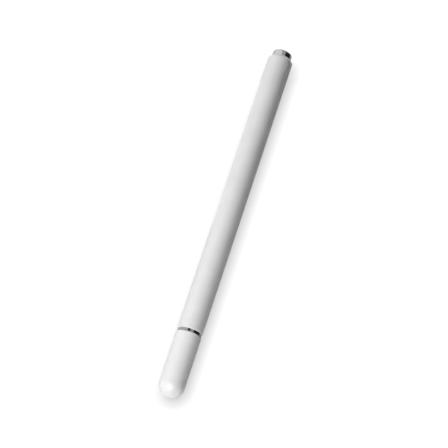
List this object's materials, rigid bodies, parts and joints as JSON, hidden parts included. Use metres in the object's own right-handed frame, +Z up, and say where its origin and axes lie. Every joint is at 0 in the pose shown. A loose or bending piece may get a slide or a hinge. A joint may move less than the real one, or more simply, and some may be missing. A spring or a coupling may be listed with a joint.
{
  "type": "stylus pen",
  "caption": "Slim round stylus pen with a magnetic pull-off cap, a chrome centre ring and tail post, and a screw-in nib with a tilting clear disc.",
  "frame": {"origin": "on the surface that the pen lies on, under the middle of its length", "axes": "+Y along the pen towards its tail, -Y towards the cap's round end, +Z up"},
  "size_m": [0.0094, 0.1412, 0.0094],
  "materials": {
    "white_paint": "gloss white paint on aluminium",
    "chrome": "polished",
    "plated_brass": "satin nickel plate on brass",
    "spring_metal": "bright",
    "brass": "turned",
    "magnet": "nickel plate",
    "steel": "satin",
    "black_rubber": "matt",
    "clear_plastic": "clear",
    "white_plastic": "moulded",
    "grey_plastic": "moulded"
  },
  "bodies": {
    "barrel": {"barrel": "white_paint", "barrel_bush": "brass", "centre_ring": "chrome", "section_core": "plated_brass", "section_magnet": "magnet", "nose_cone": "plated_brass", "tail_plug": "chrome", "tail_magnet": "magnet", "tail_core": "grey_plastic"},
    "cap": {"cap_shell": "white_paint", "cap_keeper_ring": "steel", "cap_lining": "white_plastic"},
    "nib_seal": {"nib_washer": "black_rubber"},
    "nib": {"nib_stem": "plated_brass"},
    "disc": {"disc_socket": "spring_metal", "contact_plate": "spring_metal", "touch_disc": "clear_plastic"}
  },
  "joints": [
    {"name": "cap_pull", "type": "slide", "parent": "barrel", "child": "cap", "axis": [0, -1, 0], "range_m": [0, 0.028]},
    {"name": "nib_advance", "type": "slide", "parent": "barrel", "child": "nib_seal", "axis": [0, -1, 0], "range_m": [0, 0.0024]},
    {"name": "nib_unscrew", "type": "hinge", "parent": "nib_seal", "child": "nib", "pos_m": [0, -0.05774, 0.0047], "axis": [0, -1, 0], "range_deg": [0, 2160]},
    {"name": "disc_tilt", "type": "hinge", "parent": "nib", "child": "disc", "pos_m": [0, -0.06104, 0.0047], "axis": [1, 0, 0], "range_deg": [-30, 30]}
  ],
  "couplings": [
    {"joint": "nib_unscrew", "follows": "nib_advance", "rad_per_m": 15708}
  ]
}
